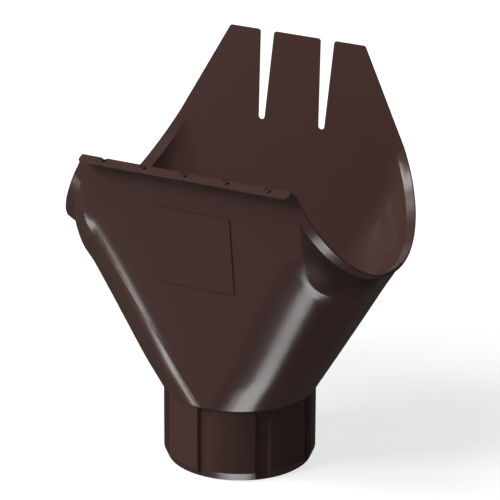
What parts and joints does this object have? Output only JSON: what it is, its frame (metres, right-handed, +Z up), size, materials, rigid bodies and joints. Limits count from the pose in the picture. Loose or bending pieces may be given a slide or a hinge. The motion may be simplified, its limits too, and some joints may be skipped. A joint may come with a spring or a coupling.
{
  "type": "gutter outlet",
  "caption": "Pressed steel outlet for a half-round gutter: a hopper open at both ends, with a folded front lip and tabbed back plate, on a crimped round spigot.",
  "frame": {"origin": "centre of the spigot's lower end", "axes": "+X along the gutter, +Y towards the back plate on the wall side, +Z up the spigot's axis"},
  "size_m": [0.1916, 0.1389, 0.2283],
  "materials": {
    "funnel_front": "satin",
    "funnel_back": "satin",
    "spigot": "satin"
  },
  "bodies": {
    "root": {"funnel_front": "funnel_front", "funnel_back": "funnel_back", "spigot": "spigot"}
  },
  "joints": []
}
